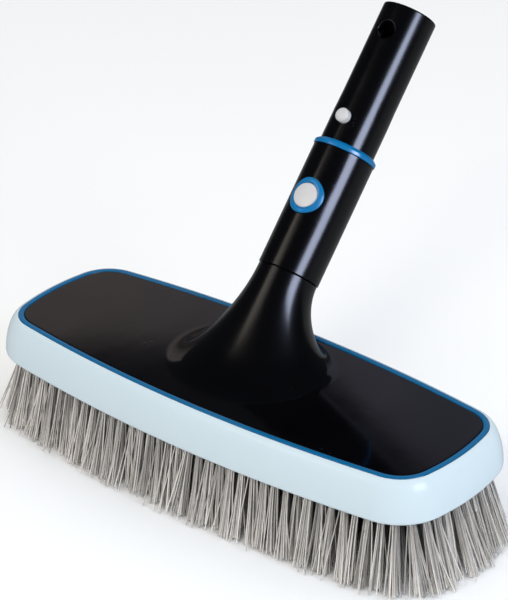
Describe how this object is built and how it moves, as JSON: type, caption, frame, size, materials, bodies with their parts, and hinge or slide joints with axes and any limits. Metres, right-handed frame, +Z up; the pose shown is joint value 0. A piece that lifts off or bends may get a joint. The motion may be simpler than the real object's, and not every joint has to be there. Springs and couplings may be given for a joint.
{
  "type": "pool wall brush",
  "caption": "Bowed pool wall brush head with splayed bristle tufts, soft bumper frame, and a leaning tube handle whose push button draws in the pin that locks it to a pole.",
  "frame": {"origin": "middle of the plane through the bristle tips, under the middle of the head", "axes": "+X along the head's length, +Y towards the side the handle leans to, +Z up from the bristle tips"},
  "size_m": [0.292, 0.1996, 0.2201],
  "materials": {
    "cover_black": "high gloss injection moulding",
    "handle_black": "gloss black tube",
    "bumper_blue": "satin soft moulding",
    "trim_blue": "gloss",
    "block_dark": "fine moulded texture",
    "bristle_grey": "extruded nylon filament",
    "button_white": "satin",
    "mechanism_dark": "moulded",
    "steel": "stainless"
  },
  "bodies": {
    "brush": {"top_cover": "cover_black", "bumper_frame": "bumper_blue", "trim_ring": "trim_blue", "bristle_block": "block_dark", "outer_tufts": "bristle_grey", "second_tufts": "bristle_grey", "third_tufts": "bristle_grey", "fourth_tufts": "bristle_grey", "fifth_tufts": "bristle_grey", "middle_tufts": "bristle_grey", "tuft_anchors": "steel", "block_screws": "steel", "neck_spigot": "mechanism_dark", "handle_screw": "steel", "handle_washer": "steel", "tube_dowel": "steel", "handle_sleeve": "handle_black", "pole_tube": "handle_black", "collar_ring": "trim_blue", "button_bezel": "trim_blue", "mechanism_carrier": "mechanism_dark", "lever_pivot": "steel", "return_spring": "steel"},
    "lever": {"rocker_lever": "button_white"},
    "button": {"release_button": "button_white"},
    "pin": {"lock_pin": "button_white"}
  },
  "joints": [
    {"name": "lever_swing", "type": "hinge", "parent": "brush", "child": "lever", "pos_m": [0, 0.0454, 0.11477], "axis": [-1, 0, 0], "range_deg": [0, 3.6], "stiffness_Nm_per_rad": 1.2, "springref_deg": -4.58, "deforming": ["return_spring"]},
    {"name": "button_press", "type": "slide", "parent": "brush", "child": "button", "axis": [0, 0.7455, -0.6665], "range_m": [0, 0.00132]},
    {"name": "pin_retract", "type": "slide", "parent": "brush", "child": "pin", "axis": [0, 0.7455, -0.6665], "range_m": [0, 0.00415]}
  ],
  "couplings": [
    {"joint": "button_press", "follows": "lever_swing", "m_per_rad": 0.0209},
    {"joint": "pin_retract", "follows": "lever_swing", "m_per_rad": 0.0659}
  ]
}
